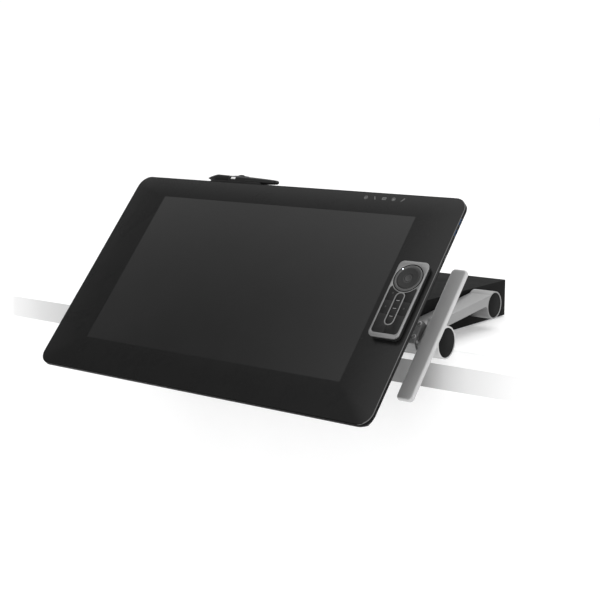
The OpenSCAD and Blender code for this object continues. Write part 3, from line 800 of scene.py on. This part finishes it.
FLOOR_HALF = 9.0     # half the floor's width
STEP_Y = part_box("base_cover")[0].y - 0.006
STEP_ROUND = 0.003   # radius of the step's upper edge
STEP_TOP = 0.026     # depth at which the step's grey front starts
STEP_DROP = 0.066    # and at which it ends
STEP_RECESS = 0.012  # how far the wall under the step stands back
FLOOR_Z = -0.75      # height of the floor in front of the step


def strip(name, outline, material):
    """A sheet that follows an outline of Y and Z, as wide as the stage."""
    bm = bmesh.new()
    rows = [[bm.verts.new((x, y, z)) for y, z in outline] for x in (-FLOOR_HALF, FLOOR_HALF)]
    for i in range(len(outline) - 1):
        bm.faces.new((rows[0][i], rows[1][i], rows[1][i + 1], rows[0][i + 1]))
    stage_piece(name, bm, material)


def pale_surface(name, tone, lift):
    """A matt pale finish, lifted a little so that it stays near white far from the lamps."""
    material = surface(name, tone, 0.7, vary=0.01, rough_vary=0.02, grain=300, depth=0.0, specular=0.1)
    shader = material.node_tree.nodes["Principled BSDF"]
    shader.inputs["Emission Color"].default_value = (1, 1, 1, 1)
    shader.inputs["Emission Strength"].default_value = lift
    return material


# Tones of the painted shade on the step's front, at distances along X in metres.
PAINTED_SHADE_TONES = ((-0.75, 1.0), (-0.71, 0.66), (-0.67, 0.61), (-0.63, 0.54), (-0.57, 0.48), (0.22, 0.18),
              (0.26, 0.24), (0.3, 0.48), (0.34, 0.6), (0.42, 0.7))
EDGE_FROM, EDGE_TO = -0.8, 0.6


def painted_shade_edge():
    """The step's front: grey painted shade, darkest to the right of its middle and paler towards both ends."""
    material = pale_surface("pale_edge_painted_shade", 0.8, 0.4)
    tree = material.node_tree
    shader = tree.nodes["Principled BSDF"]
    place = tree.nodes.new("ShaderNodeTexCoord")
    split = tree.nodes.new("ShaderNodeSeparateXYZ")
    share = tree.nodes.new("ShaderNodeMapRange")
    share.inputs["From Min"].default_value = EDGE_FROM
    share.inputs["From Max"].default_value = EDGE_TO
    ramp = tree.nodes.new("ShaderNodeValToRGB")
    stops = ramp.color_ramp.elements
    while len(stops) < len(PAINTED_SHADE_TONES):
        stops.new(0.5)
    for stop, (x, tone) in zip(stops, PAINTED_SHADE_TONES):
        stop.position = (x - EDGE_FROM) / (EDGE_TO - EDGE_FROM)
        stop.color = (tone, tone, tone, 1)
    tree.links.new(place.outputs["Object"], split.inputs[0])
    tree.links.new(split.outputs["X"], share.inputs["Value"])
    tree.links.new(share.outputs["Result"], ramp.inputs["Fac"])
    # the painted shade sets both the base colour and the glow
    tree.links.new(ramp.outputs["Color"], shader.inputs["Base Color"])
    tree.links.new(ramp.outputs["Color"], shader.inputs["Emission Color"])
    return material


def make_stage():
    """A plain pale floor, with a step at the front over which the display hangs."""
    pale = pale_surface("pale_floor", 0.85, 0.24)
    edge = painted_shade_edge()
    corner = []
    for i in range(7):
        angle = math.radians(180 - 90 * i / 6)
        corner.append((STEP_Y + STEP_ROUND * (1 + math.cos(angle)), STEP_ROUND * (math.sin(angle) - 1)))
    strip("floor_top", [corner[-1], (FLOOR_HALF, 0)], pale)
    strip("floor_lip", [(STEP_Y, -STEP_TOP)] + corner, pale)
    # the step's front carries the painted shade
    strip("floor_step", [(STEP_Y + STEP_RECESS, -STEP_DROP), (STEP_Y, -STEP_DROP), (STEP_Y, -STEP_TOP)], edge)
    strip("floor_low", [(-FLOOR_HALF, FLOOR_Z), (STEP_Y + STEP_RECESS, FLOOR_Z),
                        (STEP_Y + STEP_RECESS, -STEP_DROP)], pale)


def area_light(name, place, target, size, power):
    data = bpy.data.lights.new(name, "AREA")
    data.shape = "RECTANGLE"
    data.size, data.size_y = size
    data.energy = power
    light = bpy.data.objects.new(name, data)
    light.location = place
    light.rotation_euler = (Vector(target) - Vector(place)).to_track_quat("-Z", "Y").to_euler()
    bpy.context.scene.collection.objects.link(light)


DIM_SIDE = Vector((-0.8, -0.35, 0.45)).normalized()  # the studio is darker this way


def make_world():
    """A white studio that falls off to dark grey towards its front left."""
    world = bpy.data.worlds.new("studio")
    world.use_nodes = True
    tree = world.node_tree
    background = tree.nodes["Background"]
    background.inputs["Color"].default_value = (1, 1, 1, 1)
    place = tree.nodes.new("ShaderNodeTexCoord")
    dot = tree.nodes.new("ShaderNodeVectorMath")
    dot.operation = "DOT_PRODUCT"
    dot.inputs[1].default_value = DIM_SIDE
    fall = tree.nodes.new("ShaderNodeMapRange")
    fall.interpolation_type = "SMOOTHSTEP"
    for key, number in (("From Min", 0.7), ("From Max", 0.985), ("To Min", 1.03), ("To Max", 0.13)):
        fall.inputs[key].default_value = number
    tree.links.new(place.outputs["Generated"], dot.inputs[0])
    tree.links.new(dot.outputs["Value"], fall.inputs["Value"])
    seen = tree.nodes.new("ShaderNodeLightPath")
    plain = tree.nodes.new("ShaderNodeMath")
    plain.operation = "MAXIMUM"
    tree.links.new(fall.outputs["Result"], plain.inputs[0])
    tree.links.new(seen.outputs["Is Camera Ray"], plain.inputs[1])
    tree.links.new(plain.outputs["Value"], background.inputs["Strength"])
    bpy.context.scene.world = world


def make_light():
    make_world()
    middle = DISPLAY.translation
    area_light("overhead", (0.4, 1.2, 2.6), (0.2, 0.2, 0), (3.0, 2.0), 22)
    area_light("front", (1.8, -3.2, 0.5), (0.2, -0.2, -0.3), (2.5, 1.5), 14)
    area_light("right", (3.0, 0.6, 0.9), middle, (1.2, 1.6), 6)


# ---------- camera ----------

VIEW_AZIMUTH = 37.73   # degrees to the right of straight on
VIEW_ELEVATION = 10.1
VIEW_DISTANCE = 2.0875
VIEW_LENS = 78.68
AIM = Vector((0.0774, 0.0544, -0.024))  # from the glass's middle to the point the camera looks at


def make_camera():
    data = bpy.data.cameras.new("camera")
    data.lens = VIEW_LENS
    data.sensor_width = 36.0
    data.clip_end = 50.0
    camera = bpy.data.objects.new("camera", data)
    azimuth = math.radians(VIEW_AZIMUTH)
    elevation = math.radians(VIEW_ELEVATION)
    back = Vector((math.sin(azimuth) * math.cos(elevation), -math.cos(azimuth) * math.cos(elevation),
                   math.sin(elevation)))
    camera.location = DISPLAY.translation + AIM + back * VIEW_DISTANCE
    camera.rotation_euler = (-back).to_track_quat("-Z", "Y").to_euler()
    bpy.context.scene.collection.objects.link(camera)
    bpy.context.scene.camera = camera


def set_colours():
    """Plain view transform, so that white stays white."""
    bpy.context.scene.view_settings.view_transform = "Standard"


make_camera()
finish_nodes()
make_display()
make_remote()
make_pen()
make_stand()
make_stage()
make_light()
set_colours()
